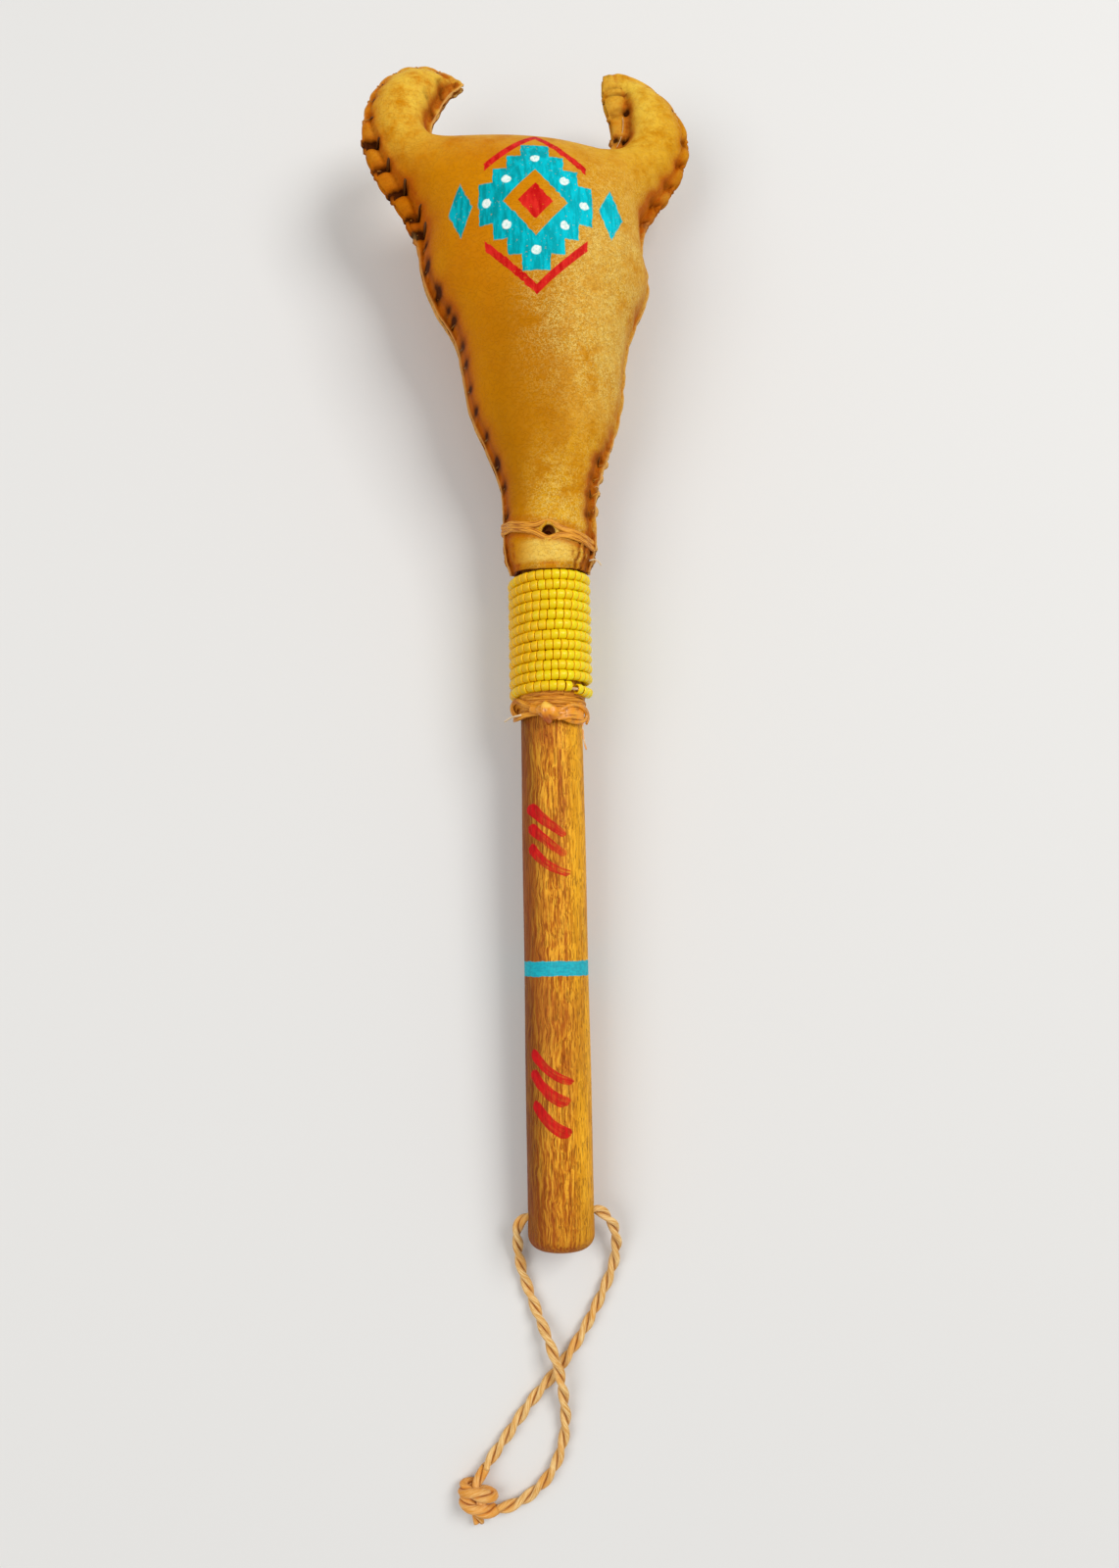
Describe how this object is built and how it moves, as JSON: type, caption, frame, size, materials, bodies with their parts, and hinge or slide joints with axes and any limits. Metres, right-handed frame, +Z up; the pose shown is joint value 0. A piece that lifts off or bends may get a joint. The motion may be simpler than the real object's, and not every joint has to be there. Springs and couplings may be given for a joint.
{
  "type": "rawhide rattle",
  "caption": "Hand rattle: a buffalo-head pouch of sewn rawhide holding pebbles, on a wooden handle with a beaded band, sinew ties and a wrist cord.",
  "frame": {"origin": "centre of the rattle's footprint without its wrist cord, on the surface that it lies on", "axes": "+Y from the handle's butt towards the crown and horns, +Z up from the surface through the face, +X to the right as seen from above"},
  "size_m": [0.1064, 0.4432, 0.0533],
  "materials": {
    "rawhide": "dried, stretched rawhide, satin",
    "handle_wood": "oiled dowel with fine grain",
    "sinew": "flat waxed sinew",
    "bead_yellow": "opaque glossy seed beads",
    "wrist_twine": "two-ply twisted cord",
    "pebble_stone": "matt stone"
  },
  "bodies": {
    "rattle": {"handle": "handle_wood", "head_front_panel": "rawhide", "head_back_panel": "rawhide", "seam_lace_left": "sinew", "seam_lace_crown": "sinew", "seam_lace_right": "sinew", "neck_tie": "sinew", "bead_strand": "bead_yellow", "handle_wrap": "sinew", "handle_wrap_knot": "sinew", "wrist_cord_left": "wrist_twine", "wrist_cord_right": "wrist_twine", "wrist_cord_bore": "wrist_twine", "wrist_cord_knot": "wrist_twine"},
    "pebble_01": {"pebble_01": "pebble_stone"},
    "pebble_02": {"pebble_02": "pebble_stone"},
    "pebble_03": {"pebble_03": "pebble_stone"},
    "pebble_04": {"pebble_04": "pebble_stone"},
    "pebble_05": {"pebble_05": "pebble_stone"},
    "pebble_06": {"pebble_06": "pebble_stone"},
    "pebble_07": {"pebble_07": "pebble_stone"},
    "pebble_08": {"pebble_08": "pebble_stone"},
    "pebble_09": {"pebble_09": "pebble_stone"},
    "pebble_10": {"pebble_10": "pebble_stone"},
    "pebble_11": {"pebble_11": "pebble_stone"},
    "pebble_12": {"pebble_12": "pebble_stone"}
  },
  "joints": [
    {"name": "pebble_01_rise", "type": "slide", "parent": "rattle", "child": "pebble_01", "axis": [0, 0, 1], "range_m": [0, 0.0347]},
    {"name": "pebble_02_rise", "type": "slide", "parent": "rattle", "child": "pebble_02", "axis": [0, 0, 1], "range_m": [0, 0.0398]},
    {"name": "pebble_03_rise", "type": "slide", "parent": "rattle", "child": "pebble_03", "axis": [0, 0, 1], "range_m": [0, 0.0337]},
    {"name": "pebble_04_rise", "type": "slide", "parent": "rattle", "child": "pebble_04", "axis": [0, 0, 1], "range_m": [0, 0.0405]},
    {"name": "pebble_05_rise", "type": "slide", "parent": "rattle", "child": "pebble_05", "axis": [0, 0, 1], "range_m": [0, 0.0422]},
    {"name": "pebble_06_rise", "type": "slide", "parent": "rattle", "child": "pebble_06", "axis": [0, 0, 1], "range_m": [0, 0.0377]},
    {"name": "pebble_07_rise", "type": "slide", "parent": "rattle", "child": "pebble_07", "axis": [0, 0, 1], "range_m": [0, 0.0431]},
    {"name": "pebble_08_rise", "type": "slide", "parent": "rattle", "child": "pebble_08", "axis": [0, 0, 1], "range_m": [0, 0.0439]},
    {"name": "pebble_09_rise", "type": "slide", "parent": "rattle", "child": "pebble_09", "axis": [0, 0, 1], "range_m": [0, 0.0403]},
    {"name": "pebble_10_rise", "type": "slide", "parent": "rattle", "child": "pebble_10", "axis": [0, 0, 1], "range_m": [0, 0.0434]},
    {"name": "pebble_11_rise", "type": "slide", "parent": "rattle", "child": "pebble_11", "axis": [0, 0, 1], "range_m": [0, 0.0444]},
    {"name": "pebble_12_rise", "type": "slide", "parent": "rattle", "child": "pebble_12", "axis": [0, 0, 1], "range_m": [0, 0.0408]}
  ]
}
